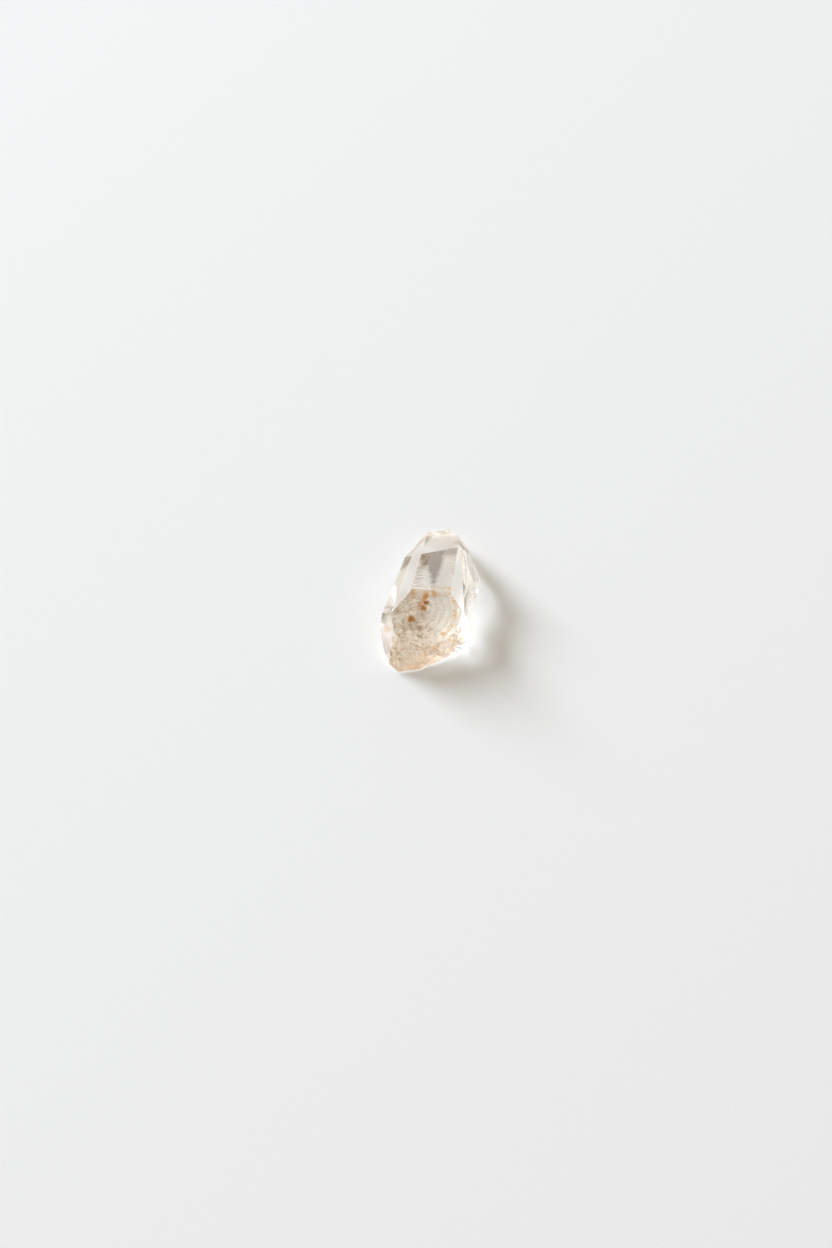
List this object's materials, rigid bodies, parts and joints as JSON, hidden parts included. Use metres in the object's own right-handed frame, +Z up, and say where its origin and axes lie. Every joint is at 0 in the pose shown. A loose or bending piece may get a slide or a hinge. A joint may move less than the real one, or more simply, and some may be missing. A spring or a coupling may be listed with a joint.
{
  "type": "herkimer diamond",
  "caption": "Doubly terminated clear quartz crystal with flat growth faces, lying on its lowest face, its near end broken, ribbed and stained by iron oxide.",
  "frame": {"origin": "middle of the bounding box in X and Y, on the surface that the crystal rests on", "axes": "+Z up from the resting face; Y along the crystal's long axis, with +Y towards the clean point and -Y towards the broken, stained end; +X to the side with the thin rim"},
  "size_m": [0.0072, 0.0137, 0.0048],
  "materials": {
    "quartz": "clear natural crystal faces with a vitreous polish; the broken near end is frosted and stained tan to rust brown by iron oxide"
  },
  "bodies": {
    "root": {"crystal": "quartz"}
  },
  "joints": []
}
